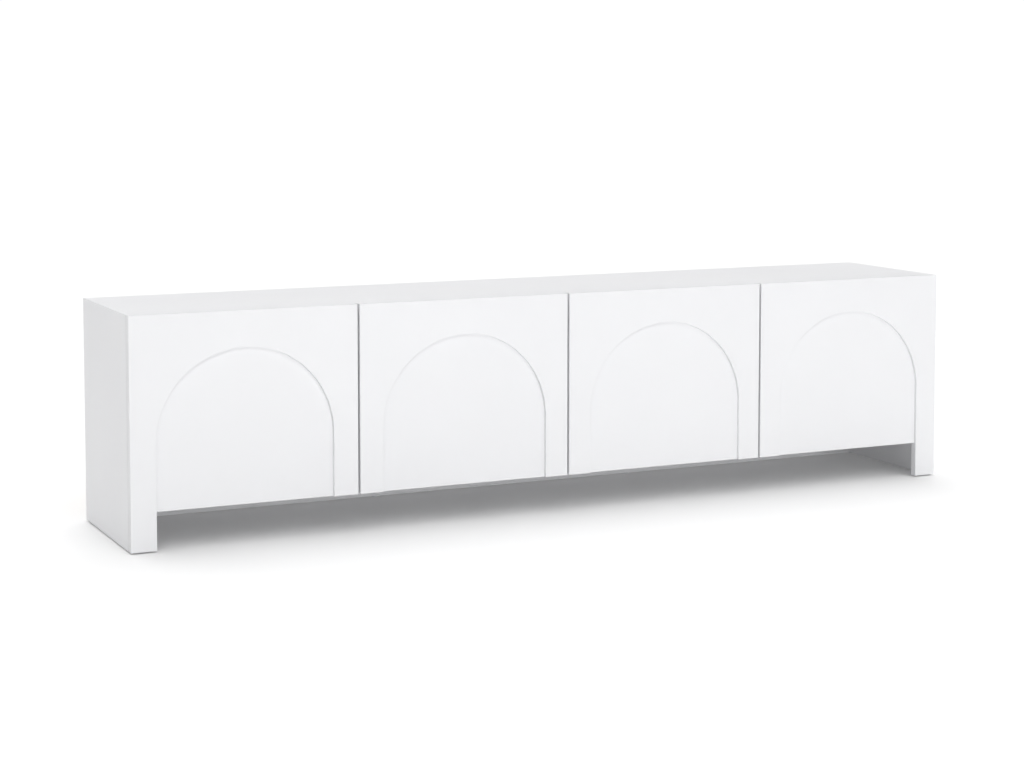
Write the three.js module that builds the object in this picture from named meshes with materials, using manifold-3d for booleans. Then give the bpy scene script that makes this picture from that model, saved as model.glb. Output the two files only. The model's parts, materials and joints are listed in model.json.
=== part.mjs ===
// Long low TV stand: a board carcass with four full-height doors, each with a shallow milled arch.
// The two outer doors run down to the floor at their outer edge and form the front legs.
// Millimetres, +Z up, +X to the right as seen from the front, the doors face -Y.
// The origin is on the floor, at the middle of the bounding box.
import * as THREE from 'three';
import { mergeVertices } from 'three/addons/utils/BufferGeometryUtils.js';
import Module from 'manifold-3d';

const wasm = await Module();
wasm.setup();

// ---- overall size ----
const WIDTH = 2000;
const DEPTH = 372.5;
const HEIGHT = 492;

// ---- boards ----
const BOARD = 16;
const BACK_BOARD = 3;
const GLIDE = 3;
const DOOR_BOTTOM = 83;
const PLINTH_SETBACK = 336;
const SHELF_Z = 280;
const SHELF_SETBACK = 30;
const SHELF_REAR_GAP = 20;
const SHELF_SIDE_GAP = 0.5;
const BACK_INSET = 2;
const BACK_JOINT = 0.5;
const CABLE_HOLE_RADIUS = 30;
const CABLE_HOLE_Z = 165;
const CABLE_HOLE_SEGMENTS = 24;

// ---- doors ----
const DOOR = 18;
const DOOR_GAP = 4.5;
const DOOR_CLEARANCE = 1.5;
const LEG_WIDTH = 55;
const ARCH_RADIUS = 194;
const ARCH_TOP = 415.5;
const ARCH_DEPTH = 7;
const ARCH_SEGMENTS = 40;

// ---- concealed hinges: measured from the hinge axis, x towards the door, y towards the back ----
const AXIS_FROM_EDGE = 6.2;
const AXIS_FROM_FRONT = 5;
const HINGE_END_DISTANCE = 90;
const CUP_FROM_EDGE = 21.5;
const CUP_RADIUS = 17.5;
const CUP_DEPTH = 12;
const CUP_WALL = 1;
const CUP_INNER_RADIUS = 15.5;
const CUP_SEGMENTS = 24;
const FLANGE_RADIUS = 18.8;
const FLANGE = 0.9;
const WING_WIDTH = 12;
const WING_SPAN = 60;
const FIT_GAP = 0.3;
const PIVOT = [33, 17.4];
const PIVOT_PIN_RADIUS = 1.1;
const LINK_HEIGHT = 8.4;
const LINK_THICKNESS = 2.6;
const LINK_ROUTE = [[27, 15.4], [21.5, 9.8], [17, 6.4], [12, 5.3], [7.5, 5.2], [4.2, 6.8]];
const LINK_STEPS = 12;
const ARM_WALL = 1.2;
const NOSE_RADIUS = 2.5;
const NOSE_SEGMENTS = 18;
const PIN_SEGMENTS = 14;
const CRANK_START = 8;
const CRANK_END = 24;
const ARM_STANDOFF = 16;
const ARM_DEPTH = 9;
const ARM_LENGTH = 60;
const PLATE = 2;
const PLATE_LENGTH = 18;
const PLATE_WIDTH = 44;
const PLATE_SCREW_DISTANCE = 37;
const PEDESTAL_START = 25;

// ---- push-to-open latches ----
const LATCH_LENGTH = 66;
const LATCH_WIDTH = 14;
const LATCH_HEIGHT = 13;
const LATCH_FROM_PARTITION = 4;
const LATCH_SETBACK = 1;
const PLUNGER_RADIUS = 4;
const PLUNGER_LENGTH = 40;
const STRIKE_RADIUS = 8;
const STRIKE = 1.2;
const ROUND_SEGMENTS = 20;

// ---- glides ----
const GLIDE_RADIUS = 7;
const GLIDE_END_DISTANCE = 30;
const PLINTH_GLIDE_X = 330;

// ---- derived planes ----
const FRONT = -DEPTH / 2;
const REAR = DEPTH / 2;
const CARCASS_FRONT = FRONT + DOOR + DOOR_CLEARANCE;
const CARCASS_REAR = REAR - BACK_BOARD;
const TOP_UNDERSIDE = HEIGHT - BOARD;
const FLOOR_PANEL_TOP = DOOR_BOTTOM + BOARD;
const HALF = WIDTH / 2;
const INNER = HALF - BOARD;
const PARTITIONS = [-WIDTH / 4, 0, WIDTH / 4];

// Solids that cut others run this far past them.
const PAST = 5;

// ---- finishes ----
function finish(color, roughness, metalness = 0) {
  return new THREE.MeshStandardMaterial({ color, roughness, metalness });
}
const lacquer = finish(0xf4f5f6, 0.42);
const melamine = finish(0xf1f2f3, 0.5);
const hardboard = finish(0xe9e9e8, 0.7);
const nickel = finish(0xc4c5c6, 0.3, 1);
const zinc = finish(0xb2b4b6, 0.38, 1);
const whitePlastic = finish(0xe6e7e8, 0.45);
const greyPlastic = finish(0x9da0a3, 0.5);

const cabinet = new THREE.Group();

function add(name, geometry, material, position = [0, 0, 0]) {
  const mesh = new THREE.Mesh(geometry, material);
  mesh.name = name;
  mesh.position.set(...position);
  cabinet.add(mesh);
}

// ---- solids ----
function solid(geometry) {
  const bare = geometry.clone();
  bare.deleteAttribute('normal');
  bare.deleteAttribute('uv');
  const merged = mergeVertices(bare, 1e-4);
  const vertProperties = new Float32Array(merged.attributes.position.array);
  const triVerts = new Uint32Array(merged.index.array);
  return new wasm.Manifold(new wasm.Mesh({ numProp: 3, vertProperties, triVerts }));
}

function geometryOf(manifold) {
  const mesh = manifold.getMesh();
  const geometry = new THREE.BufferGeometry();
  geometry.setAttribute('position', new THREE.BufferAttribute(mesh.vertProperties, 3));
  geometry.setIndex(new THREE.BufferAttribute(mesh.triVerts, 1));
  geometry.computeVertexNormals();
  return geometry;
}

function block(x0, x1, y0, y1, z0, z1) {
  const geometry = new THREE.BoxGeometry(x1 - x0, y1 - y0, z1 - z0);
  return geometry.translate((x0 + x1) / 2, (y0 + y1) / 2, (z0 + z1) / 2);
}

// A round bar or bore along Y.
function barY(radius, x, z, y0, y1, segments) {
  const geometry = new THREE.CylinderGeometry(radius, radius, y1 - y0, segments);
  return geometry.translate(x, (y0 + y1) / 2, z);
}

// An outline drawn in X and Z, carried back along Y from y0 to y1.
function upright(shape, y0, y1) {
  const geometry = new THREE.ExtrudeGeometry(shape, {
    depth: y1 - y0,
    bevelEnabled: false,
    curveSegments: ARCH_SEGMENTS,
  });
  return geometry.rotateX(Math.PI / 2).translate(0, y1, 0);
}

// An outline drawn in X and Y, spread evenly above and below z = 0.
function flat(points, side, height) {
  const shape = new THREE.Shape(points.map(([x, y]) => new THREE.Vector2(side * x, y)));
  const geometry = new THREE.ExtrudeGeometry(shape, { depth: height, bevelEnabled: false });
  return geometry.translate(0, 0, -height / 2);
}

function pinZ(radius, [x, y], side, height, segments) {
  const geometry = new THREE.CylinderGeometry(radius, radius, height, segments);
  return geometry.rotateX(Math.PI / 2).translate(side * x, y, 0);
}

function board(name, x0, x1, y0, y1, z0, z1) {
  const geometry = new THREE.BoxGeometry(x1 - x0, y1 - y0, z1 - z0);
  add(name, geometry, melamine, [(x0 + x1) / 2, (y0 + y1) / 2, (z0 + z1) / 2]);
}

// A board with mitred ends: its outline in X and Z, as deep as the carcass.
function mitred(name, points) {
  const shape = new THREE.Shape(points.map(([x, z]) => new THREE.Vector2(x, z)));
  add(name, upright(shape, CARCASS_FRONT, CARCASS_REAR), melamine);
}

// ---- carcass: the top panel meets both side panels in a mitre ----
mitred('top_panel', [[-HALF, HEIGHT], [-INNER, TOP_UNDERSIDE], [INNER, TOP_UNDERSIDE], [HALF, HEIGHT]]);
mitred('left_side_panel', [[-HALF, HEIGHT], [-HALF, GLIDE], [-INNER, GLIDE], [-INNER, TOP_UNDERSIDE]]);
mitred('right_side_panel', [[HALF, HEIGHT], [INNER, TOP_UNDERSIDE], [INNER, GLIDE], [HALF, GLIDE]]);
board('bottom_panel', -INNER, INNER, CARCASS_FRONT, CARCASS_REAR, DOOR_BOTTOM, FLOOR_PANEL_TOP);
const PLINTH_FRONT = FRONT + PLINTH_SETBACK;
board('rear_plinth', -INNER, INNER, PLINTH_FRONT, PLINTH_FRONT + BOARD, GLIDE, DOOR_BOTTOM);

['left_partition', 'centre_partition', 'right_partition'].forEach((name, i) => {
  const x = PARTITIONS[i];
  board(name, x - BOARD / 2, x + BOARD / 2, CARCASS_FRONT, CARCASS_REAR, FLOOR_PANEL_TOP, TOP_UNDERSIDE);
});

// The four compartments, as pairs of inner wall positions.
const walls = [-HALF + BOARD / 2, ...PARTITIONS, HALF - BOARD / 2];
const compartments = [0, 1, 2, 3].map((i) => [walls[i] + BOARD / 2, walls[i + 1] - BOARD / 2]);

compartments.forEach(([left, right], i) => {
  board(
    `shelf_${i + 1}`,
    left + SHELF_SIDE_GAP,
    right - SHELF_SIDE_GAP,
    CARCASS_FRONT + SHELF_SETBACK,
    CARCASS_REAR - SHELF_REAR_GAP,
    SHELF_Z,
    SHELF_Z + BOARD,
  );
});

// Back panels cover the rear edges of the carcass; each has two round cable holes.
function backPanel(name, x0, x1, bays) {
  const z0 = DOOR_BOTTOM + BACK_INSET;
  let panel = solid(block(x0, x1, CARCASS_REAR, REAR, z0, HEIGHT - BACK_INSET));
  bays.forEach(([left, right]) => {
    const x = (left + right) / 2;
    const y0 = CARCASS_REAR - PAST;
    const hole = barY(CABLE_HOLE_RADIUS, x, CABLE_HOLE_Z, y0, REAR + PAST, CABLE_HOLE_SEGMENTS);
    panel = panel.subtract(solid(hole));
  });
  add(name, geometryOf(panel), hardboard);
}
backPanel('left_back_panel', -HALF + BACK_INSET, -BACK_JOINT, compartments.slice(0, 2));
backPanel('right_back_panel', BACK_JOINT, HALF - BACK_INSET, compartments.slice(2));

// ---- glides under the side panels and the plinth ----
function glide(name, x, y) {
  const profile = [
    new THREE.Vector2(0, 0),
    new THREE.Vector2(GLIDE_RADIUS - 1, 0),
    new THREE.Vector2(GLIDE_RADIUS, 1),
    new THREE.Vector2(GLIDE_RADIUS, GLIDE),
    new THREE.Vector2(0, GLIDE),
  ];
  const pad = new THREE.LatheGeometry(profile, ROUND_SEGMENTS).rotateX(Math.PI / 2);
  add(name, pad, whitePlastic, [x, y, 0]);
}
[['left', -1], ['right', 1]].forEach(([word, side]) => {
  glide(`${word}_front_glide`, side * (HALF - BOARD / 2), CARCASS_FRONT + GLIDE_END_DISTANCE);
  glide(`${word}_rear_glide`, side * (HALF - BOARD / 2), CARCASS_REAR - GLIDE_END_DISTANCE);
  glide(`${word}_plinth_glide`, side * PLINTH_GLIDE_X, PLINTH_FRONT + BOARD / 2);
});

// ---- doors ----
// side is 1 where the hinges are at the door's left edge and -1 where they are at its right edge.
// wall is the hinge-side wall's inner face.
const doors = [
  { left: -HALF, right: PARTITIONS[0] - DOOR_GAP / 2, side: 1, wall: compartments[0][0], leg: true },
  { left: PARTITIONS[0] + DOOR_GAP / 2, right: -DOOR_GAP / 2, side: 1, wall: compartments[1][0] },
  { left: DOOR_GAP / 2, right: PARTITIONS[2] - DOOR_GAP / 2, side: -1, wall: compartments[2][1] },
  { left: PARTITIONS[2] + DOOR_GAP / 2, right: HALF, side: -1, wall: compartments[3][1], leg: true },
];
const HINGE_HEIGHTS = {
  bottom: DOOR_BOTTOM + HINGE_END_DISTANCE,
  top: HEIGHT - HINGE_END_DISTANCE,
};

// The door seen from the front: a rectangle, with the leg strip below its outer corner.
function doorOutline({ left, right, side, leg }) {
  const shape = new THREE.Shape();
  const outer = side > 0 ? left : right;
  const inner = side > 0 ? right : left;
  shape.moveTo(outer, HEIGHT);
  shape.lineTo(outer, leg ? GLIDE : DOOR_BOTTOM);
  if (leg) {
    shape.lineTo(outer + side * LEG_WIDTH, GLIDE);
    shape.lineTo(outer + side * LEG_WIDTH, DOOR_BOTTOM);
  }
  shape.lineTo(inner, DOOR_BOTTOM);
  shape.lineTo(inner, HEIGHT);
  shape.closePath();
  return shape;
}

// The milled arch: straight sides below a half circle, open at the door's bottom edge.
function archOutline(centre) {
  const shape = new THREE.Shape();
  const spring = ARCH_TOP - ARCH_RADIUS;
  shape.moveTo(centre - ARCH_RADIUS, DOOR_BOTTOM - PAST);
  shape.lineTo(centre + ARCH_RADIUS, DOOR_BOTTOM - PAST);
  shape.lineTo(centre + ARCH_RADIUS, spring);
  shape.absarc(centre, spring, ARCH_RADIUS, 0, Math.PI, false);
  shape.closePath();
  return shape;
}

function door(name, spec) {
  const back = FRONT + DOOR;
  const hingeEdge = spec.side > 0 ? spec.left : spec.right;
  const cupX = hingeEdge + spec.side * CUP_FROM_EDGE;
  let leaf = solid(upright(doorOutline(spec), FRONT, back));
  const arch = upright(archOutline((spec.left + spec.right) / 2), FRONT - PAST, FRONT + ARCH_DEPTH);
  leaf = leaf.subtract(solid(arch));
  Object.values(HINGE_HEIGHTS).forEach((z) => {
    const y0 = back - CUP_DEPTH - FIT_GAP;
    const bore = barY(CUP_RADIUS + FIT_GAP, cupX, z, y0, back + PAST, CUP_SEGMENTS);
    leaf = leaf.subtract(solid(bore));
  });
  add(name, geometryOf(leaf), lacquer);
}

// ---- concealed hinge parts, each around the hinge axis ----
function hingeCup(side) {
  const rear = DOOR - AXIS_FROM_FRONT;
  const x = side * (CUP_FROM_EDGE - AXIS_FROM_EDGE);
  const profile = [
    new THREE.Vector2(0, -CUP_DEPTH),
    new THREE.Vector2(CUP_RADIUS, -CUP_DEPTH),
    new THREE.Vector2(CUP_RADIUS, 0),
    new THREE.Vector2(FLANGE_RADIUS, 0),
    new THREE.Vector2(FLANGE_RADIUS, FLANGE),
    new THREE.Vector2(0, FLANGE),
  ];
  const cup = solid(new THREE.LatheGeometry(profile, CUP_SEGMENTS));
  const wing = new THREE.Shape();
  const reach = WING_SPAN / 2 - WING_WIDTH / 2;
  wing.absarc(0, reach, WING_WIDTH / 2, 0, Math.PI, false);
  wing.absarc(0, -reach, WING_WIDTH / 2, Math.PI, Math.PI * 2, false);
  const wings = new THREE.ExtrudeGeometry(wing, { depth: FLANGE, bevelEnabled: false, curveSegments: 5 });
  wings.rotateX(Math.PI / 2).translate(0, FLANGE, 0);
  const hollow = barY(CUP_INNER_RADIUS, 0, 0, CUP_WALL - CUP_DEPTH, FLANGE + PAST, CUP_SEGMENTS);
  const whole = cup.add(solid(wings)).subtract(solid(hollow));
  return geometryOf(whole).translate(x, rear, 0);
}

// A strip of even thickness along a smooth centre line, with a round eye at its first point.
function hingeLink(side) {
  const route = [PIVOT, ...LINK_ROUTE].map(([x, y]) => new THREE.Vector3(x, y, 0));
  const curve = new THREE.CatmullRomCurve3(route);
  const half = LINK_THICKNESS / 2;
  const one = [];
  const other = [];
  for (let i = 0; i <= LINK_STEPS; i += 1) {
    const point = curve.getPointAt(i / LINK_STEPS);
    const along = curve.getTangentAt(i / LINK_STEPS);
    one.push([point.x - along.y * half, point.y + along.x * half]);
    other.push([point.x + along.y * half, point.y - along.x * half]);
  }
  const strip = solid(flat([...one, ...other.reverse()], side, LINK_HEIGHT));
  const eye = solid(pinZ(NOSE_RADIUS, PIVOT, side, LINK_HEIGHT, NOSE_SEGMENTS));
  const bore = solid(pinZ(PIVOT_PIN_RADIUS + FIT_GAP, PIVOT, side, LINK_HEIGHT + PAST, PIN_SEGMENTS));
  return geometryOf(strip.add(eye).subtract(bore));
}

// A channel that stands off the cabinet wall on its mounting plate and carries the pivot pin
// between the two cheeks of its nose. wall is the wall's face, measured from the hinge axis.
function hingeArm(side, wall) {
  const [px, py] = PIVOT;
  const nose = px + NOSE_RADIUS;
  const heel = px - NOSE_RADIUS;
  const start = py + CRANK_START;
  const end = py + CRANK_END;
  const top = wall + ARM_STANDOFF;
  const under = top - ARM_DEPTH;
  const back = py + ARM_LENGTH;
  const height = LINK_HEIGHT + 2 * FIT_GAP + 2 * ARM_WALL;
  const cheeks = [
    [nose, py],
    [nose, start],
    [top, end],
    [top, back],
    [under, back],
    [under, end - 2],
    [heel, start - 3],
    [heel, py],
  ];
  const channel = [
    [nose + PAST, py - PAST],
    [nose + PAST, start - ARM_WALL],
    [nose - ARM_WALL, start - 0.8],
    [top - ARM_WALL, end - 0.6],
    [top - ARM_WALL, back + PAST],
    [under - PAST, back + PAST],
    [under - PAST, end],
    [heel - PAST, start],
    [heel - PAST, py - PAST],
  ];
  const round = solid(pinZ(NOSE_RADIUS, PIVOT, side, height, NOSE_SEGMENTS));
  const body = solid(flat(cheeks, side, height)).add(round);
  const open = body.subtract(solid(flat(channel, side, height - 2 * ARM_WALL)));
  const pin = solid(pinZ(PIVOT_PIN_RADIUS, PIVOT, side, height - ARM_WALL, PIN_SEGMENTS));

  const screw = DOOR + DOOR_CLEARANCE - AXIS_FROM_FRONT + PLATE_SCREW_DISTANCE;
  const y0 = screw - PLATE_LENGTH / 2;
  const plateX = [side * wall, side * (wall + PLATE)].sort((a, b) => a - b);
  const plate = block(...plateX, y0, y0 + PLATE_LENGTH, -PLATE_WIDTH / 2, PLATE_WIDTH / 2);
  const pedestalX = [side * (wall + PLATE / 2), side * (under + 1)].sort((a, b) => a - b);
  const pedestalStart = screw - PLATE_SCREW_DISTANCE + PEDESTAL_START;
  const pedestal = block(...pedestalX, pedestalStart, back - PLATE, -height / 2, height / 2);
  return geometryOf(open.add(pin).add(solid(plate)).add(solid(pedestal)));
}

// ---- push-to-open latch, from the carcass front edge backwards ----
function latchHousing() {
  const y0 = LATCH_SETBACK;
  const body = solid(block(-LATCH_WIDTH / 2, LATCH_WIDTH / 2, y0, y0 + LATCH_LENGTH, -LATCH_HEIGHT, 0));
  const deep = y0 + PLUNGER_LENGTH + PAST;
  const barrel = barY(PLUNGER_RADIUS + FIT_GAP, 0, -LATCH_HEIGHT / 2, y0 - PAST, deep, ROUND_SEGMENTS);
  return geometryOf(body.subtract(solid(barrel)));
}

function plungerBody() {
  const tip = -DOOR_CLEARANCE + STRIKE + FIT_GAP;
  return barY(PLUNGER_RADIUS, 0, -LATCH_HEIGHT / 2, tip, tip + PLUNGER_LENGTH, ROUND_SEGMENTS);
}

function strikePlate() {
  return barY(STRIKE_RADIUS, 0, 0, 0, STRIKE, ROUND_SEGMENTS);
}

doors.forEach((spec, i) => {
  const number = i + 1;
  door(`door_${number}`, spec);
  const { side, wall } = spec;
  const hingeEdge = side > 0 ? spec.left : spec.right;
  const freeEdgeWall = side > 0 ? compartments[i][1] : compartments[i][0];
  const axisX = hingeEdge + side * AXIS_FROM_EDGE;
  const axisY = FRONT + AXIS_FROM_FRONT;
  Object.entries(HINGE_HEIGHTS).forEach(([place, z]) => {
    const position = [axisX, axisY, z];
    add(`hinge_cup_${number}_${place}`, hingeCup(side), nickel, position);
    add(`hinge_link_${number}_${place}`, hingeLink(side), nickel, position);
    add(`hinge_arm_${number}_${place}`, hingeArm(side, side * (wall - axisX)), zinc, position);
  });
  const latchX = freeEdgeWall - side * (LATCH_FROM_PARTITION + LATCH_WIDTH / 2);
  add(`latch_housing_${number}`, latchHousing(), greyPlastic, [latchX, CARCASS_FRONT, TOP_UNDERSIDE]);
  add(`latch_plunger_${number}`, plungerBody(), whitePlastic, [latchX, CARCASS_FRONT, TOP_UNDERSIDE]);
  const strikeZ = TOP_UNDERSIDE - LATCH_HEIGHT / 2;
  add(`strike_plate_${number}`, strikePlate(), zinc, [latchX, FRONT + DOOR, strikeZ]);
});

export default cabinet;
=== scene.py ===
"""Looks of the long white TV stand with four arched doors. Metres, the doors face -Y, +Z up."""
import json
import math

import bmesh
import bpy
from mathutils import Matrix, Vector
from mathutils.geometry import tessellate_polygon

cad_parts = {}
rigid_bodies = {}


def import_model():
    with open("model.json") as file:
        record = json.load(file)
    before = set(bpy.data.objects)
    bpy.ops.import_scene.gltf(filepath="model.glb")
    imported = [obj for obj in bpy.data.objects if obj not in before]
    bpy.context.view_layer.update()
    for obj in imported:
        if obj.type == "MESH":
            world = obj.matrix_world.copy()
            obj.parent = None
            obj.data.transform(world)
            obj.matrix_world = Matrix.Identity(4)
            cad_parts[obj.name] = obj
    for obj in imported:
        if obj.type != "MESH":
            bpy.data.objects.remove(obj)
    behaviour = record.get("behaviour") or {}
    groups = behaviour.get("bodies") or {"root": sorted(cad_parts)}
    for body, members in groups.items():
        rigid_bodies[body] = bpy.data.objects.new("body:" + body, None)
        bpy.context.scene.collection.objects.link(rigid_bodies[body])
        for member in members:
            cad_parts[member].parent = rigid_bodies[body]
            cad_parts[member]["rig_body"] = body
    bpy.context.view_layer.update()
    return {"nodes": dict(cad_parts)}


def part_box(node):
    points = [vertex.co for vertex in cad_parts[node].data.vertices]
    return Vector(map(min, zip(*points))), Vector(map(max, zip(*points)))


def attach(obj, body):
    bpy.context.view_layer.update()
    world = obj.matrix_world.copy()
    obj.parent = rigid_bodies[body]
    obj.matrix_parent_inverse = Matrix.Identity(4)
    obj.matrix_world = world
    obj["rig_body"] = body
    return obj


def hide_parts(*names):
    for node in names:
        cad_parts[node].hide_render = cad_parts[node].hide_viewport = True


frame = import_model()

MM = 0.001
TAU = math.tau
scene = bpy.context.scene
nodes = frame["nodes"]
CARCASS = "carcass"
DOORS = (1, 2, 3, 4)
PLACES = ("bottom", "top")


boxes = {node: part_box(node) for node in nodes}


def low(node):
    return boxes[node][0]


def high(node):
    return boxes[node][1]


def middle(node):
    return (low(node) + high(node)) / 2


def body_of(node):
    return nodes[node]["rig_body"]


# ---------------------------------------------------------------- camera
CAMERA_PLACE = (-2.1285, -4.3931, 0.9954)
CAMERA_DOWN = 4.399
CAMERA_RIGHT = 25.305
CAMERA_LENS = 74.85
CAMERA_SHIFT = -0.15


def make_camera():
    camera = bpy.data.objects.new("camera", bpy.data.cameras.new("camera"))
    scene.collection.objects.link(camera)
    camera.location = CAMERA_PLACE
    camera.rotation_euler = (math.radians(90 - CAMERA_DOWN), 0, math.radians(-CAMERA_RIGHT))
    camera.data.sensor_width = 36
    camera.data.lens = CAMERA_LENS
    camera.data.shift_y = CAMERA_SHIFT
    scene.camera = camera


make_camera()


# ---------------------------------------------------------------- materials
class Shader:
    """A material with one Principled BSDF, and short calls for the nodes that feed it."""

    def __init__(self, name, roughness=0.5, metallic=0.0, **constants):
        self.material = bpy.data.materials.new(name)
        self.material.use_nodes = True
        self.tree = self.material.node_tree
        self.bsdf = self.tree.nodes["Principled BSDF"]
        self.bsdf.inputs["Roughness"].default_value = roughness
        self.bsdf.inputs["Metallic"].default_value = metallic
        for socket, value in constants.items():
            self.bsdf.inputs[socket.replace("_", " ")].default_value = value
        self.place = self.node("ShaderNodeTexCoord").outputs["Object"]

    def node(self, kind, **settings):
        made = self.tree.nodes.new(kind)
        for key, value in settings.items():
            setattr(made, key, value)
        return made

    def link(self, output, target):
        self.tree.links.new(output, target)

    def stretched(self, x, y, z):
        """The object's own coordinates, scaled per axis, for grain that runs one way."""
        mapping = self.node("ShaderNodeMapping")
        mapping.inputs["Scale"].default_value = (x, y, z)
        self.link(self.place, mapping.inputs["Vector"])
        return mapping.outputs["Vector"]

    def noise(self, size, detail=2.0, place=None):
        """Soft noise whose blotches are about `size` metres across, from 0 to 1."""
        made = self.node("ShaderNodeTexNoise")
        made.inputs["Scale"].default_value = 1 / size
        made.inputs["Detail"].default_value = detail
        self.link(place or self.place, made.inputs["Vector"])
        return made.outputs["Fac"]

    def cells(self, size, place=None):
        """A random value for each cell about `size` metres across."""
        made = self.node("ShaderNodeTexVoronoi")
        made.inputs["Scale"].default_value = 1 / size
        self.link(place or self.place, made.inputs["Vector"])
        split = self.node("ShaderNodeSeparateColor")
        self.link(made.outputs["Color"], split.inputs["Color"])
        return split.outputs["Red"]

    def ramp(self, value, low_in, high_in, low_out=0.0, high_out=1.0):
        made = self.node("ShaderNodeMapRange")
        made.inputs["From Min"].default_value = low_in
        made.inputs["From Max"].default_value = high_in
        made.inputs["To Min"].default_value = low_out
        made.inputs["To Max"].default_value = high_out
        self.link(value, made.inputs["Value"])
        return made.outputs["Result"]

    def sum(self, a, b):
        made = self.node("ShaderNodeMath", operation="ADD")
        self.link(a, made.inputs[0])
        self.link(b, made.inputs[1])
        return made.outputs["Value"]

    def blend(self, amount, first, second):
        """first where amount is 0, second where it is 1. Either may be a colour or an output."""
        made = self.node("ShaderNodeMix", data_type="RGBA")
        self.link(amount, made.inputs["Factor"])
        for socket, colour in (("A", first), ("B", second)):
            target = next(i for i in made.inputs if i.name == socket and i.type == "RGBA")
            if isinstance(colour, tuple):
                target.default_value = (*colour, 1)
            else:
                self.link(colour, target)
        return next(o for o in made.outputs if o.type == "RGBA")

    def colour(self, output):
        self.link(output, self.bsdf.inputs["Base Color"])

    def roughness(self, output):
        self.link(output, self.bsdf.inputs["Roughness"])

    def bump(self, *layers):
        """Each layer is (height output, height in metres)."""
        normal = None
        for height, distance in layers:
            made = self.node("ShaderNodeBump")
            made.inputs["Distance"].default_value = distance
            self.link(height, made.inputs["Height"])
            if normal:
                self.link(normal, made.inputs["Normal"])
            normal = made.outputs["Normal"]
        self.link(normal, self.bsdf.inputs["Normal"])


def door_lacquer():
    """Sprayed white matt lacquer on fibreboard: faint orange peel and a slow change of tone."""
    s = Shader("door_lacquer", Specular_IOR_Level=0.4)
    tone = s.blend(s.ramp(s.noise(0.35), 0.35, 0.65), (0.824, 0.827, 0.842), (0.840, 0.843, 0.857))
    s.colour(s.blend(s.ramp(s.noise(0.004, 3), 0.62, 0.8, 0, 0.25), tone, (0.805, 0.808, 0.822)))
    s.roughness(s.sum(s.ramp(s.noise(0.09, 4), 0.3, 0.7, 0.38, 0.45), s.ramp(s.noise(0.003), 0, 1, 0, 0.04)))
    s.bump((s.noise(0.0022, 1.5), 0.00002), (s.noise(0.0006, 2), 0.000006))
    return s.material


def board_melamine():
    """White melamine-faced board: a fine pressed pearl texture."""
    s = Shader("board_melamine", Specular_IOR_Level=0.4)
    tone = s.blend(s.ramp(s.noise(0.5), 0.35, 0.65), (0.846, 0.848, 0.863), (0.864, 0.866, 0.880))
    s.colour(s.blend(s.ramp(s.noise(0.0016, 2), 0.55, 0.75, 0, 0.3), tone, (0.825, 0.828, 0.843)))
    s.roughness(s.ramp(s.noise(0.02, 5), 0.3, 0.7, 0.42, 0.5))
    s.bump((s.noise(0.0011, 3), 0.00003), (s.cells(0.0007), 0.000008))
    return s.material


def edge_band():
    """White plastic edging, a touch glossier and cooler than the board's faces."""
    s = Shader("edge_band", Specular_IOR_Level=0.45)
    s.colour(s.blend(s.ramp(s.noise(0.05), 0.35, 0.65), (0.82, 0.825, 0.838), (0.838, 0.842, 0.852)))
    s.roughness(s.ramp(s.noise(0.008, 3), 0.3, 0.7, 0.34, 0.42))
    s.bump((s.noise(0.0008, 2, s.stretched(1, 1, 0.15)), 0.000012))
    return s.material


def white_hardboard():
    """The painted inner face of the back panel."""
    s = Shader("white_hardboard", Specular_IOR_Level=0.3)
    s.colour(s.blend(s.noise(0.03, 4), (0.79, 0.79, 0.785), (0.82, 0.82, 0.815)))
    s.roughness(s.ramp(s.noise(0.01, 4), 0.3, 0.7, 0.55, 0.68))
    s.bump((s.noise(0.0015, 4), 0.00003))
    return s.material


def raw_hardboard():
    """The unpainted outer face of the back panel: pressed brown fibre with darker flecks."""
    s = Shader("raw_hardboard", Specular_IOR_Level=0.2)
    fibre = s.noise(0.0025, 6, s.stretched(0.35, 1, 1))
    tone = s.blend(s.ramp(fibre, 0.3, 0.7), (0.27, 0.185, 0.115), (0.43, 0.32, 0.215))
    fleck = s.ramp(s.noise(0.0012, 2, s.stretched(0.5, 1, 1)), 0.66, 0.74, 0, 0.55)
    cloud = s.blend(s.ramp(s.noise(0.25, 3), 0.3, 0.7), (0.30, 0.21, 0.135), (0.42, 0.31, 0.205))
    mixed = s.blend(s.ramp(s.noise(0.6), 0.2, 0.8, 0.25, 0.5), tone, cloud)
    s.colour(s.blend(fleck, mixed, (0.15, 0.095, 0.055)))
    s.roughness(s.ramp(fibre, 0.3, 0.7, 0.6, 0.8))
    s.bump((fibre, 0.00008))
    return s.material


def raw_core():
    """The sawn edge of the hardboard and the inside of drilled holes."""
    s = Shader("raw_core", Specular_IOR_Level=0.2)
    chips = s.cells(0.0014, s.stretched(0.6, 1, 1))
    s.colour(s.blend(chips, (0.34, 0.24, 0.15), (0.52, 0.40, 0.27)))
    s.roughness(s.ramp(chips, 0, 1, 0.7, 0.9))
    s.bump((chips, 0.0001))
    return s.material


def nickel():
    """Bright nickel plate with faint polishing marks."""
    s = Shader("nickel", metallic=1.0)
    marks = s.noise(0.0006, 4, s.stretched(0.2, 1, 1))
    s.colour(s.blend(s.noise(0.004, 3), (0.66, 0.645, 0.62), (0.74, 0.725, 0.70)))
    s.roughness(s.ramp(marks, 0.3, 0.7, 0.18, 0.3))
    s.bump((marks, 0.000004))
    return s.material


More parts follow.
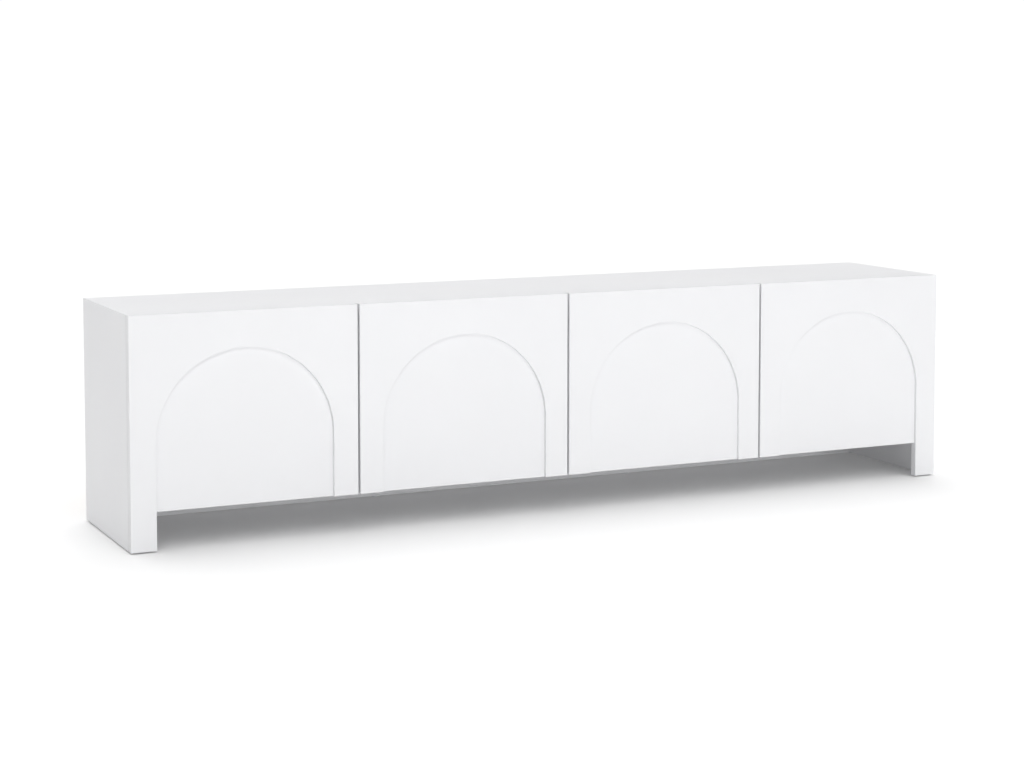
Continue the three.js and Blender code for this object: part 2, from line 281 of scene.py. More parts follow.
def zinc():
    """Satin zinc plate: cooler, with small spangles."""
    s = Shader("zinc", metallic=1.0)
    spangle = s.cells(0.0016)
    s.colour(s.blend(spangle, (0.55, 0.565, 0.59), (0.65, 0.66, 0.675)))
    s.roughness(s.sum(s.ramp(spangle, 0, 1, 0.3, 0.38), s.ramp(s.noise(0.003, 3), 0, 1, 0, 0.08)))
    s.bump((s.noise(0.0008, 3), 0.000006))
    return s.material


def moulded(name, dark, light):
    """Moulded plastic with a fine spark-eroded grain."""
    s = Shader(name, Specular_IOR_Level=0.45)
    s.colour(s.blend(s.noise(0.006, 3), dark, light))
    s.roughness(s.ramp(s.noise(0.002, 3), 0.3, 0.7, 0.42, 0.55))
    s.bump((s.noise(0.00045, 2), 0.00001))
    return s.material


def magnet():
    s = Shader("magnet", metallic=0.9)
    s.colour(s.blend(s.noise(0.0015, 3), (0.2, 0.2, 0.21), (0.32, 0.32, 0.33)))
    s.roughness(s.ramp(s.noise(0.001, 3), 0.3, 0.7, 0.35, 0.5))
    return s.material


LACQUER = door_lacquer()
MELAMINE = board_melamine()
BAND = edge_band()
WHITE_BACK = white_hardboard()
RAW_BACK = raw_hardboard()
CORE = raw_core()
NICKEL = nickel()
ZINC = zinc()
GREY_PLASTIC = moulded("grey_plastic", (0.33, 0.34, 0.35), (0.39, 0.40, 0.41))
WHITE_PLASTIC = moulded("white_plastic", (0.76, 0.77, 0.78), (0.82, 0.83, 0.84))
MAGNET = magnet()


# ---------------------------------------------------------------- mesh building
def mesh_from(name, corners, faces):
    mesh = bpy.data.meshes.new(name)
    mesh.from_pydata([tuple(c) for c in corners], [], faces)
    made = bmesh.new()
    made.from_mesh(mesh)
    bmesh.ops.remove_doubles(made, verts=made.verts, dist=1e-7)
    bmesh.ops.recalc_face_normals(made, faces=made.faces)
    made.to_mesh(mesh)
    made.free()
    return mesh


def box_mesh(name, lo, hi):
    corners = [(x, y, z) for x in (lo[0], hi[0]) for y in (lo[1], hi[1]) for z in (lo[2], hi[2])]
    faces = [(0, 1, 3, 2), (4, 6, 7, 5), (0, 4, 5, 1), (2, 3, 7, 6), (0, 2, 6, 4), (1, 5, 7, 3)]
    return mesh_from(name, corners, faces)


def lathe_mesh(name, profile, turn=Matrix(), segments=32):
    """Spins (radius, height) points round Z; `turn` then places the result."""
    corners, rings = [], []
    for radius, height in profile:
        if radius < 1e-9:
            rings.append([len(corners)])
            corners.append(turn @ Vector((0, 0, height)))
            continue
        ring = []
        for i in range(segments):
            angle = TAU * i / segments
            ring.append(len(corners))
            corners.append(turn @ Vector((radius * math.cos(angle), radius * math.sin(angle), height)))
        rings.append(ring)
    faces = []
    for a, b in zip(rings, rings[1:]):
        for i in range(segments):
            j = (i + 1) % segments
            quad = [a[i % len(a)], a[j % len(a)], b[j % len(b)], b[i % len(b)]]
            unique = list(dict.fromkeys(quad))
            if len(unique) > 2:
                faces.append(unique)
    return mesh_from(name, corners, faces)


def prism_mesh(name, outline, height, turn=Matrix()):
    """An outline in X and Y, carried from z = 0 up to height; `turn` then places it."""
    count = len(outline)
    corners = [turn @ Vector((x, y, z)) for z in (0, height) for x, y in outline]
    faces = [list(range(count)), list(range(count, 2 * count))]
    faces += [(i, (i + 1) % count, count + (i + 1) % count, count + i) for i in range(count)]
    return mesh_from(name, corners, faces)


def joined(name, meshes):
    made = bmesh.new()
    for mesh in meshes:
        made.from_mesh(mesh)
    whole = bpy.data.meshes.new(name)
    made.to_mesh(whole)
    made.free()
    return whole


def arc(cx, cy, radius, start, end, steps):
    """Points along an arc, angles in degrees."""
    angles = [math.radians(start + (end - start) * i / steps) for i in range(steps + 1)]
    return [(cx + radius * math.cos(a), cy + radius * math.sin(a)) for a in angles]


def settle(obj):
    """Takes the modifiers' result as the object's own mesh."""
    graph = bpy.context.evaluated_depsgraph_get()
    mesh = bpy.data.meshes.new_from_object(obj.evaluated_get(graph))
    obj.modifiers.clear()
    obj.data = mesh


def loose(name, mesh):
    obj = bpy.data.objects.new(name, mesh)
    scene.collection.objects.link(obj)
    return obj


def soften(obj, width, segments=2, angle=35, limit="ANGLE"):
    """Rounds the edges and weighs the normals, so flat faces stay flat in shading."""
    obj.data.shade_smooth()
    bevel = obj.modifiers.new("bevel", "BEVEL")
    bevel.width = width
    bevel.segments = segments
    bevel.limit_method = limit
    bevel.angle_limit = math.radians(angle)
    obj.modifiers.new("normals", "WEIGHTED_NORMAL")
    settle(obj)


def cut(obj, cutter_mesh, sharp=50):
    """Cuts the holes, makes their edges sharp and weighs the normals again."""
    cutter = loose("cutter", cutter_mesh)
    modifier = obj.modifiers.new("cut", "BOOLEAN")
    modifier.object = cutter
    modifier.solver = "EXACT"
    settle(obj)
    bpy.data.objects.remove(cutter)
    obj.data.shade_smooth()
    obj.data.set_sharp_from_angle(angle=math.radians(sharp))
    obj.modifiers.new("normals", "WEIGHTED_NORMAL")
    obj.modifiers["normals"].keep_sharp = True
    settle(obj)


def finish_piece(obj, materials, body, replaced=()):
    obj.data.materials.clear()
    for material in materials:
        obj.data.materials.append(material)
    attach(obj, body)
    if replaced:
        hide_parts(*replaced)
    return obj


def paint(obj, index_of):
    """Gives each polygon the material slot that index_of(polygon) says."""
    for polygon in obj.data.polygons:
        polygon.material_index = index_of(polygon)


def facing(direction, place):
    """The matrix that turns something made along +Z to point along `direction`, from `place`."""
    turn = Vector((0, 0, 1)).rotation_difference(Vector(direction)).to_matrix().to_4x4()
    return Matrix.Translation(place) @ turn


def cylinder(radius, depth, place, direction, segments=24):
    return lathe_mesh("cylinder", [(0, 0), (radius, 0), (radius, depth), (0, depth)],
                      facing(direction, place), segments)


# ---------------------------------------------------------------- fasteners
def cross_recess(radius):
    """The outline of a cross slot, anticlockwise."""
    arm, half = radius, radius * 0.24
    points = []
    for quarter in range(4):
        c, s = round(math.cos(quarter * TAU / 4)), round(math.sin(quarter * TAU / 4))
        for x, y in ((arm, -half), (arm, half), (half, half)):
            points.append((x * c - y * s, x * s + y * c))
    return points


def screw_mesh(radius, height, place, direction, recess=None):
    """A countersunk or pan screw head with a cross slot. Its seat is at `place`."""
    turn = facing(direction, place)
    segments = 24
    recess = recess or radius * 0.62
    profile = [(radius * 0.96, 0), (radius, height * 0.25)]
    profile += [(radius * 0.93, height * 0.7), (radius * 0.76, height)]
    corners, faces = [turn @ Vector((0, 0, 0))], []
    rings = []
    for ring_radius, z in profile:
        start = len(corners)
        for x, y in arc(0, 0, ring_radius, 0, 360 - 360 / segments, segments - 1):
            corners.append(turn @ Vector((x, y, z)))
        rings.append(list(range(start, start + segments)))
    for i in range(segments):
        j = (i + 1) % segments
        faces.append((0, rings[0][j], rings[0][i]))
        for a, b in zip(rings, rings[1:]):
            faces.append((a[i], a[j], b[j], b[i]))
    slot = cross_recess(recess)
    top = len(corners)
    corners += [turn @ Vector((x, y, height)) for x, y in slot]
    deep = len(corners)
    corners += [turn @ Vector((x * 0.7, y * 0.7, height * 0.25)) for x, y in slot]
    rim = [Vector((*p, 0)) for p in arc(0, 0, profile[-1][0], 0, 360 - 360 / segments, segments - 1)]
    hole = [Vector((*p, 0)) for p in slot]
    index = rings[-1] + list(range(top, top + len(slot)))
    faces += [tuple(index[i] for i in t) for t in tessellate_polygon([rim, hole])]
    count = len(slot)
    faces += [(top + i, top + (i + 1) % count, deep + (i + 1) % count, deep + i) for i in range(count)]
    faces.append(tuple(range(deep, deep + count)))
    return mesh_from("screw", corners, faces)


def fasteners(name, meshes, material, body, replaced=()):
    obj = loose(name, joined(name, meshes))
    obj.data.shade_smooth()
    obj.data.set_sharp_from_angle(angle=math.radians(32))
    return finish_piece(obj, [material], body, replaced)


# ---------------------------------------------------------------- boards
BAND_BEVEL = 0.35 * MM
CORNER_ROUND = 0.8 * MM
PIN_HOLE_RADIUS = 2.5 * MM
PIN_HOLE_DEPTH = 7 * MM
PIN_HOLE_PITCH = 32 * MM
PIN_INSET = 40 * MM
PIN_RADIUS = 2.4 * MM
PIN_REACH = 8 * MM
PIN_HOLE_STEPS = (-2, -1, 0, 1, 2)


def board(node, thin_axis, holes=(), has_mitre=False):
    """A board with rounded edging on its narrow faces and drilled holes, if any."""
    lo, hi = low(node), high(node)
    if has_mitre:
        mesh = mitred_mesh(node)
        weigh_mitred(mesh, node)
        obj = loose(f"{node}_board", mesh)
        soften(obj, BAND_BEVEL, limit="WEIGHT")
    else:
        obj = loose(f"{node}_board", box_mesh(node, lo, hi))
        soften(obj, BAND_BEVEL)
    if holes:
        cut(obj, joined("holes", holes))

    def slot_index(polygon):
        outside = min(abs(polygon.center[a] - edge[a]) for a in range(3) for edge in (lo, hi))
        if outside > BAND_BEVEL:
            return 2
        return 0 if abs(polygon.normal[thin_axis]) > 0.99 else 1

    finish_piece(obj, [MELAMINE, BAND, CORE], body_of(node), [node])
    paint(obj, slot_index)
    return obj


def mitred_mesh(node):
    """The top panel or a side panel: its end runs up at 45 degrees to a slightly rounded corner."""
    lo, hi = low(node), high(node)
    top = high("top_panel").z
    thick = hi.z - lo.z if node == "top_panel" else hi.x - lo.x
    outer = high("top_panel").x
    # The rounded corner, from the side face up to the top face; the mitre meets it half way.
    turn = arc(outer - CORNER_ROUND, top - CORNER_ROUND, CORNER_ROUND, 0, 90, 6)
    if node == "top_panel":
        right = [(outer - thick, lo.z), *turn[3:]]
        outline = right + [(-x, z) for x, z in reversed(right)]
    else:
        outline = [(outer, lo.z), *turn[:4], (outer - thick, top - thick), (outer - thick, lo.z)]
        if hi.x < 0:
            outline = [(-x, z) for x, z in outline]
    stand = Matrix(((1, 0, 0, 0), (0, 0, 1, lo.y), (0, 1, 0, 0), (0, 0, 0, 1)))
    return prism_mesh(node, outline, hi.y - lo.y, stand)


def weigh_mitred(mesh, node):
    """Rounds every long edge but those of the mitre and of the corner it meets."""
    lo, hi = low(node), high(node)
    inner = hi.x - lo.x if node != "top_panel" else hi.z - lo.z
    made = bmesh.new()
    made.from_mesh(mesh)
    weight = made.edges.layers.float.new("bevel_weight_edge")
    for edge in made.edges:
        slanted = any(abs(f.normal.x) > 0.5 and abs(f.normal.z) > 0.5 and f.calc_area() > inner * 0.3
                      for f in edge.link_faces)
        if len(edge.link_faces) == 2 and not slanted and edge.calc_face_angle() > math.radians(40):
            edge[weight] = 1.0
    made.to_mesh(mesh)
    made.free()


def pin_places(shelf):
    """Where the four pins of a shelf go in: (wall x, direction into the wall, y)."""
    lo, hi = low(shelf), high(shelf)
    for y in (lo.y + PIN_INSET, hi.y - PIN_INSET):
        yield lo.x - 0.5 * MM, -1, y
        yield hi.x + 0.5 * MM, 1, y


def pin_holes(wall_node):
    """The rows of shelf-pin holes drilled in one side panel or partition."""
    faces = (low(wall_node).x, high(wall_node).x)
    made = []
    for number in DOORS:
        z = low(f"shelf_{number}").z - PIN_RADIUS
        for x, direction, y in pin_places(f"shelf_{number}"):
            if min(abs(x - face) for face in faces) > 1 * MM:
                continue
            for step in PIN_HOLE_STEPS:
                place = (x - direction * 1 * MM, y, z + step * PIN_HOLE_PITCH)
                made.append(cylinder(PIN_HOLE_RADIUS, PIN_HOLE_DEPTH + 1 * MM, place, (direction, 0, 0), 16))
    return made


def make_boards():
    board("top_panel", 2, has_mitre=True)
    board("bottom_panel", 2)
    board("rear_plinth", 1)
    for number in DOORS:
        board(f"shelf_{number}", 2)
    for node in ("left_side_panel", "right_side_panel"):
        board(node, 0, pin_holes(node), has_mitre=True)
    for node in ("left_partition", "centre_partition", "right_partition"):
        board(node, 0, pin_holes(node))


def make_shelf_pins():
    """Steel pins: a plain rod with chamfered ends, sunk in the wall and standing out as a peg under the
    shelf.
    """
    for number in DOORS:
        shelf = f"shelf_{number}"
        z = low(shelf).z - PIN_RADIUS - 0.1 * MM
        meshes = []
        for x, direction, y in pin_places(shelf):
            profile = [
                (0, -PIN_HOLE_DEPTH + 1 * MM), (PIN_RADIUS - 0.5 * MM, -PIN_HOLE_DEPTH + 1 * MM),
                (PIN_RADIUS, -PIN_HOLE_DEPTH + 1.5 * MM), (PIN_RADIUS, 0),
                (PIN_RADIUS, PIN_REACH - 1 * MM), (PIN_RADIUS - 0.4 * MM, PIN_REACH - 0.3 * MM),
                (PIN_RADIUS - 1 * MM, PIN_REACH), (0, PIN_REACH),
            ]
            meshes.append(lathe_mesh("pin", profile, facing((-direction, 0, 0), (x, y, z)), 20))
        fasteners(f"shelf_pins_{number}", meshes, ZINC, CARCASS)


# ---------------------------------------------------------------- back panels
HOLE_RADIUS = 30 * MM
HOLE_Z = 165 * MM
NAIL_PITCH = 110 * MM
NAIL_INSET = 7 * MM


def back_panel(side, bays):
    node = f"{side}_back_panel"
    lo, hi = low(node), high(node)
    obj = loose(f"{side}_back_board", box_mesh(node, lo, hi))
    soften(obj, 0.3 * MM, 1)
    centres = [(low(f"shelf_{n}").x + high(f"shelf_{n}").x) / 2 for n in bays]
    holes = [cylinder(HOLE_RADIUS, 20 * MM, (x, lo.y - 8 * MM, HOLE_Z), (0, 1, 0), 72) for x in centres]
    cut(obj, joined("holes", holes), 40)
    finish_piece(obj, [WHITE_BACK, RAW_BACK, CORE], CARCASS, [node])
    paint(obj, lambda p: 1 if p.normal.y > 0.9 else 0 if p.normal.y < -0.9 else 2)

    rows = (lo.z + NAIL_INSET, hi.z - NAIL_INSET)
    across = max(2, round((hi.x - lo.x - 2 * NAIL_INSET) / NAIL_PITCH))
    xs = [lo.x + NAIL_INSET + (hi.x - lo.x - 2 * NAIL_INSET) * i / across for i in range(across + 1)]
    places = [(x, z) for x in xs for z in rows]
    up = max(2, round((rows[1] - rows[0]) / NAIL_PITCH))
    uprights = [lo.x + NAIL_INSET, hi.x - NAIL_INSET]
    uprights += [middle(p).x for p in ("left_partition", "right_partition") if lo.x < middle(p).x < hi.x]
    places += [(x, rows[0] + (rows[1] - rows[0]) * i / up) for x in uprights for i in range(1, up)]
    profile = [(0, -0.2 * MM), (1.9 * MM, -0.2 * MM), (2 * MM, 0.2 * MM), (1.5 * MM, 0.5 * MM), (0, 0.6 * MM)]
    nails = [lathe_mesh("nail", profile, facing((0, 1, 0), (x, hi.y, z)), 14) for x, z in places]
    fasteners(f"{side}_back_nails", nails, ZINC, CARCASS)


# ---------------------------------------------------------------- doors
ARCH_RADIUS = 194 * MM
ARCH_TOP = 415.5 * MM
ARCH_DEPTH = 7 * MM
ARCH_STEPS = 120
DOOR_BOTTOM = low("door_2").z
BORE_RADIUS = 17.8 * MM
BORE_DEPTH = 12.3 * MM
FRONT_ROUND = 1.2 * MM
REAR_ROUND = 1.2 * MM
ARCH_ROUND = 0.8 * MM
FILLET = 0.5 * MM
BEVEL_WIDTH = 2 * MM


def door_mesh(number):
    """One door: outer faces, the sunk arch with its wall, and the leg strip of the outer doors."""
    node = f"door_{number}"
    lo, hi = low(node), high(node)
    front, back, sunk = lo.y, hi.y, lo.y + ARCH_DEPTH
    centre = (lo.x + hi.x) / 2
    spring = ARCH_TOP - ARCH_RADIUS
    left, right = centre - ARCH_RADIUS, centre + ARCH_RADIUS
    leg_left, leg_right = number == 1, number == 4
    foot, base = lo.z, DOOR_BOTTOM
    curve = [(left, base), *arc(centre, spring, ARCH_RADIUS, 180, 0, ARCH_STEPS), (right, base)]
    left_end = [(lo.x, foot), (left, foot)] if leg_left else [(lo.x, base)]
    right_end = [(right, foot), (hi.x, foot)] if leg_right else [(hi.x, base)]
    outline = [(lo.x, hi.z), *left_end, *curve, *right_end, (hi.x, hi.z)]
    rear = [(lo.x, hi.z), *left_end]
    rear += [(left, base)] if leg_left else []
    rear += [(right, base)] if leg_right else []
    rear += [*right_end, (hi.x, hi.z)]

    corners, faces, found = [], [], {}

    def corner(x, y, z):
        key = (round(x, 7), round(y, 7), round(z, 7))
        if key not in found:
            found[key] = len(corners)
            corners.append(key)
        return found[key]

    faces.append([corner(x, front, z) for x, z in outline])
    faces.append([corner(x, back, z) for x, z in reversed(rear)])
    faces.append([corner(x, sunk, z) for x, z in curve])
    for (x0, z0), (x1, z1) in zip(curve, curve[1:]):
        wall = ((x0, front, z0), (x0, sunk, z0), (x1, sunk, z1), (x1, front, z1))
        faces.append([corner(*point) for point in wall])
    for x in (lo.x, hi.x):
        bottom = foot if (leg_left and x == lo.x) or (leg_right and x == hi.x) else base
        edge = ((front, hi.z), (back, hi.z), (back, bottom), (front, bottom))
        faces.append([corner(x, y, z) for y, z in edge])
    faces.append([corner(x, y, hi.z) for x, y in ((lo.x, front), (hi.x, front), (hi.x, back), (lo.x, back))])
    under = [(left, sunk), (right, sunk)]
    under += [] if leg_right else [(right, front), (hi.x, front), (hi.x, back)]
    under += [(right, back)] if leg_right else []
    under += [(left, back)] if leg_left else [(lo.x, back), (lo.x, front), (left, front)]
    faces.append([corner(x, y, base) for x, y in under])
    for inner, outer, present in ((left, lo.x, leg_left), (right, hi.x, leg_right)):
        if present:
            faces.append([corner(x, y, foot) for x, y in
                          ((outer, front), (inner, front), (inner, back), (outer, back))])
            faces.append([corner(inner, y, z) for y, z in
                          ((front, foot), (front, base), (sunk, base), (back, base), (back, foot))])
    return mesh_from(node, corners, faces), front, sunk


def weigh_edges(mesh, lo, hi, sunk):
    """Sets how far each edge is rounded: outer edges, the arch's lip and the fillet at its foot."""
    made = bmesh.new()
    made.from_mesh(mesh)
    weight = made.edges.layers.float.new("bevel_weight_edge")
    for edge in made.edges:
        if len(edge.link_faces) != 2 or edge.calc_face_angle() < math.radians(40):
            continue
        ends = [v.co for v in edge.verts]
        inside = all(lo.x + 1 * MM < p.x < hi.x - 1 * MM and p.z < hi.z - 1 * MM for p in ends)
        if all(abs(p.y - sunk) < 1e-6 for p in ends) and not edge.is_convex:
            width = FILLET
        elif all(abs(p.y - hi.y) < 1e-6 for p in ends):
            width = REAR_ROUND
        else:
            width = ARCH_ROUND if inside else FRONT_ROUND
        edge[weight] = width / BEVEL_WIDTH
    made.to_mesh(mesh)
    made.free()


def make_door(number):
    node = f"door_{number}"
    mesh, front, sunk = door_mesh(number)
    weigh_edges(mesh, low(node), high(node), sunk)
    obj = loose(f"door_leaf_{number}", mesh)
    obj.data.shade_smooth()
    bevel = obj.modifiers.new("bevel", "BEVEL")
    bevel.limit_method = "WEIGHT"
    bevel.width = BEVEL_WIDTH
    bevel.segments = 3
    bevel.use_clamp_overlap = False
    settle(obj)
    back = high(node).y
    cups = [middle(f"hinge_cup_{number}_{place}") for place in PLACES]
    bores = [cylinder(BORE_RADIUS, BORE_DEPTH + 5 * MM, (cup.x, back - BORE_DEPTH, cup.z), (0, 1, 0), 64)
             for cup in cups]
    cut(obj, joined("bores", bores))
    finish_piece(obj, [LACQUER, CORE], body_of(node), [node])

    def in_bore(polygon):
        if not front + 5 * MM < polygon.center.y < back - 0.5 * MM:
            return 0
        for cup in cups:
            off_centre = polygon.center - cup
            if math.hypot(off_centre.x, off_centre.z) < BORE_RADIUS + 0.1 * MM:
                return 1
        return 0

    paint(obj, in_bore)


# ---------------------------------------------------------------- hinges
def refined(node, suffix, material, width, segments=2):
    """The CAD solid's own shape with its flat faces merged and its edges rounded."""
    mesh = nodes[node].data.copy()
    made = bmesh.new()
    made.from_mesh(mesh)
    bmesh.ops.remove_doubles(made, verts=made.verts, dist=1e-6)
    bmesh.ops.dissolve_limit(made, angle_limit=math.radians(1), verts=made.verts, edges=made.edges)
    for edge in made.edges:
        edge.smooth = True
    made.to_mesh(mesh)
    made.free()
    obj = loose(f"{node}_{suffix}", mesh)
    for name in [a.name for a in mesh.attributes if a.name == "custom_normal"]:
        mesh.attributes.remove(mesh.attributes[name])
    soften(obj, width, segments, 25)
    return finish_piece(obj, [material], body_of(node), [node])


CUP_OUTER = 17.5 * MM
CUP_INNER = 15.5 * MM
CUP_DEPTH = 12 * MM
CUP_FLANGE = 18.8 * MM
CUP_FLOOR = 1 * MM
CUP_BEND = 1.2 * MM
WING_HALF = 24 * MM
WING_RADIUS = 6 * MM
WING_START = 15.8 * MM


def hinge_cup(number, place):
    """A drawn steel cup with a rolled lip, two ears and their screws."""
    node = f"hinge_cup_{number}_{place}"
    x, z = middle(node).x, middle(node).z
    seat = high(f"door_{number}").y
    lip = high(node).y - seat
    turn = facing((0, 1, 0), (x, seat, z))
    floor = -CUP_DEPTH + CUP_FLOOR
    profile = [(0, -CUP_DEPTH)]
    profile += arc(CUP_OUTER - CUP_BEND, -CUP_DEPTH + CUP_BEND, CUP_BEND, -90, 0, 5)
    profile += [(CUP_OUTER, 0.02 * MM), (CUP_FLANGE - 0.1 * MM, 0.02 * MM), (CUP_FLANGE, lip * 0.5)]
    profile += [(CUP_FLANGE - 0.25 * MM, lip), (CUP_INNER + 0.7 * MM, lip), (CUP_INNER + 0.2 * MM, lip * 0.8)]
    profile += [(CUP_INNER, 0), *arc(CUP_INNER - CUP_BEND, floor + CUP_BEND, CUP_BEND, 0, -90, 5), (0, floor)]
    cup = lathe_mesh("cup", profile, turn, 64)
    ears, screws = [], []
    for end in (-1, 1):
        centre = end * WING_HALF
        points = arc(0, centre, WING_RADIUS, 0 if end > 0 else 180, 180 if end > 0 else 360, 14)
        points += [(-end * WING_RADIUS, end * WING_START), (end * WING_RADIUS, end * WING_START)]
        # The outline's Y becomes the cabinet's Z, and the ear's thickness runs along Y.
        stand = Matrix(((1, 0, 0, x), (0, 0, 1, seat), (0, 1, 0, z), (0, 0, 0, 1)))
        ears.append(prism_mesh("ear", points, lip * 0.92, stand))
        screws.append(screw_mesh(3.9 * MM, 0.9 * MM, (x, seat + lip * 0.7, z + centre), (0, 1, 0)))
    body = loose(f"hinge_cup_shell_{number}_{place}", joined("cup", [cup, *ears]))
    body.data.shade_smooth()
    body.data.set_sharp_from_angle(angle=math.radians(40))
    finish_piece(body, [NICKEL], body_of(node), [node])
    fasteners(f"hinge_cup_screws_{number}_{place}", screws, ZINC, body_of(node))


ARM_WEB = 16 * MM
PLATE_FROM_FRONT = 37.1 * MM
PLATE_SCREWS = 16 * MM
PLATE_THICK = 2 * MM
ADJUSTERS_FROM_REAR = (12 * MM, 28 * MM)


def hinge_arm(number, place):
    """The arm, its two adjusting screws and the two screws that hold its plate to the wall."""
    node = f"hinge_arm_{number}_{place}"
    refined(node, "body", ZINC, 0.25 * MM)
    lo, hi = low(node), high(node)
    z = middle(node).z
    inward = 1 if number < 3 else -1
    wall = lo.x if inward > 0 else hi.x
    plate_y = lo.y + PLATE_FROM_FRONT
    meshes = []
    for end in (-1, 1):
        spot = (wall + inward * PLATE_THICK, plate_y, z + end * PLATE_SCREWS)
        meshes.append(screw_mesh(3.6 * MM, 1.6 * MM, spot, (inward, 0, 0)))
    web = wall + inward * ARM_WEB
    for setback in ADJUSTERS_FROM_REAR:
        meshes.append(screw_mesh(2.9 * MM, 1.1 * MM, (web, hi.y - setback, z), (inward, 0, 0)))
    fasteners(f"hinge_arm_screws_{number}_{place}", meshes, NICKEL, CARCASS)


# ---------------------------------------------------------------- latches and glides
def latch(number):
    housing = f"latch_housing_{number}"
    refined(housing, "body", GREY_PLASTIC, 0.8 * MM, 3)
    lo, hi = low(housing), high(housing)
    cx = (lo.x + hi.x) / 2
    meshes = [screw_mesh(3.2 * MM, 1.2 * MM, (cx, y, lo.z), (0, 0, -1))
              for y in (lo.y + 14 * MM, hi.y - 8 * MM)]
    fasteners(f"latch_screws_{number}", meshes, ZINC, CARCASS)

    plunger = f"latch_plunger_{number}"
    lo, hi = low(plunger), high(plunger)
    radius = (hi.x - lo.x) / 2
    length = hi.y - lo.y
    centre = middle(plunger)
    turn = facing((0, -1, 0), (centre.x, hi.y, centre.z))
    profile = [(0, 0), (radius - 0.4 * MM, 0), (radius, 0.4 * MM), (radius, length - 3 * MM)]
    profile += arc(radius - 0.8 * MM, length - 1 * MM, 0.8 * MM, 0, 90, 5)
    profile += [(2.6 * MM, length - 0.2 * MM), (2.5 * MM, length - 0.5 * MM), (0, length - 0.5 * MM)]
    body = loose(f"latch_plunger_body_{number}", lathe_mesh("plunger", profile, turn, 40))
    body.data.shade_smooth()
    body.data.set_sharp_from_angle(angle=math.radians(35))
    finish_piece(body, [WHITE_PLASTIC], body_of(plunger), [plunger])
    disc = [(0, length - 0.45 * MM), (2.4 * MM, length - 0.45 * MM)]
    disc += [(2.3 * MM, length - 0.02 * MM), (0, length)]
    fasteners(f"latch_magnet_{number}", [lathe_mesh("magnet", disc, turn, 32)], MAGNET,
              body_of(plunger))

    strike = f"strike_plate_{number}"
    lo, hi = low(strike), high(strike)
    centre = middle(strike)
    turn = facing((0, 1, 0), (centre.x, lo.y, centre.z))
    radius, thick = (hi.x - lo.x) / 2, hi.y - lo.y
    profile = [(0, 0), (radius, 0), (radius, thick * 0.6), (radius - 0.5 * MM, thick), (3.6 * MM, thick),
               (3.2 * MM, thick * 0.7), (0, thick * 0.7)]
    fasteners(f"strike_disc_{number}", [lathe_mesh("strike", profile, turn, 48)], ZINC,
              body_of(strike), [strike])


def glide(node):
    lo, hi = low(node), high(node)
    centre = middle(node)
    radius, thick = (hi.x - lo.x) / 2, hi.z - lo.z
    profile = [(0, 0.5 * MM), (2 * MM, 0.5 * MM), (2.4 * MM, 0)]
    profile += arc(radius - 1.2 * MM, 1.2 * MM, 1.2 * MM, -90, 0, 5)
    profile += [(radius, thick - 0.3 * MM), (radius - 0.3 * MM, thick), (0, thick)]
    turn = Matrix.Translation((centre.x, centre.y, lo.z))
    fasteners(f"{node}_pad", [lathe_mesh("glide", profile, turn, 40)], WHITE_PLASTIC, CARCASS,
              [node])


# ---------------------------------------------------------------- cabinet fittings
CAM_RADIUS = 7.5 * MM
CAM_DROP = 34 * MM
CAM_INSET = 50 * MM
PLINTH_SCREW_XS = (-840 * MM, -620 * MM, -250 * MM, 250 * MM, 620 * MM, 840 * MM)


def cam_locks():
    """Cam locks near the top of each upright board, and screws through the bottom panel."""
    ys = (low("left_side_panel").y + CAM_INSET, high("left_side_panel").y - CAM_INSET)
    top = low("top_panel").z
    faces = [(high("left_side_panel").x, 1), (low("right_side_panel").x, -1)]
    faces += [(high(p).x, 1) for p in ("left_partition", "centre_partition")]
    faces += [(low("right_partition").x, -1)]
    cams = [screw_mesh(CAM_RADIUS, 0.7 * MM, (x, y, top - CAM_DROP), (out, 0, 0), CAM_RADIUS * 0.45)
            for x, out in faces for y in ys]
    fasteners("cam_locks", cams, ZINC, CARCASS)
    under = low("bottom_panel").z
    heads = [screw_mesh(4.6 * MM, 0.6 * MM, (middle(p).x, y, under), (0, 0, -1), 2.6 * MM)
             for p in ("left_partition", "centre_partition", "right_partition") for y in ys]
    plinth = middle("rear_plinth").y
    heads += [screw_mesh(4.2 * MM, 0.5 * MM, (x, plinth, high("bottom_panel").z), (0, 0, 1), 2.4 * MM)
              for x in PLINTH_SCREW_XS]
    fasteners("confirmat_screws", heads, ZINC, CARCASS)


# ---------------------------------------------------------------- make it all
make_boards()
make_shelf_pins()
back_panel("left", (1, 2))
back_panel("right", (3, 4))
for number in DOORS:
    make_door(number)
    latch(number)
    for place in PLACES:
        hinge_cup(number, place)
        hinge_arm(number, place)
        refined(f"hinge_link_{number}_{place}", "body", NICKEL, 0.3 * MM, 3)
for name in sorted(n for n in nodes if n.endswith("_glide")):
    glide(name)
cam_locks()


# ---------------------------------------------------------------- floor and light
FLOOR_SIZE = 120
FLOOR_ALBEDO = 0.93
FLOOR_GLOW = 0.038
HORIZON = 1.03
SKY = 0.15
HORIZON_BAND = (0.05, 0.14)
SOFT_ANGLE = 60
SOFT_ELEVATION = 60
# How strong each soft overhead light is, by where it comes from: 0 the front, 90 the right, 180 the back.
SOFT_LIGHTS = {0: 0.3, 120: 0.52, 180: 1.52, 240: 0.2}
KEY_ANGLE = 16
# The narrower lights that draw the arches' shadow: azimuth, elevation and strength of each.
KEY_LIGHTS = {"left_key": (320, 38, 0.26), "front_key": (0, 48, 0.66)}
FLOOR_FILL = 0.95
SOFTBOX_PLACE = (0.7, -4.0, 0.35)
SOFTBOX_SIZE = (2.2, 0.6)
SOFTBOX_WATTS = 25.5


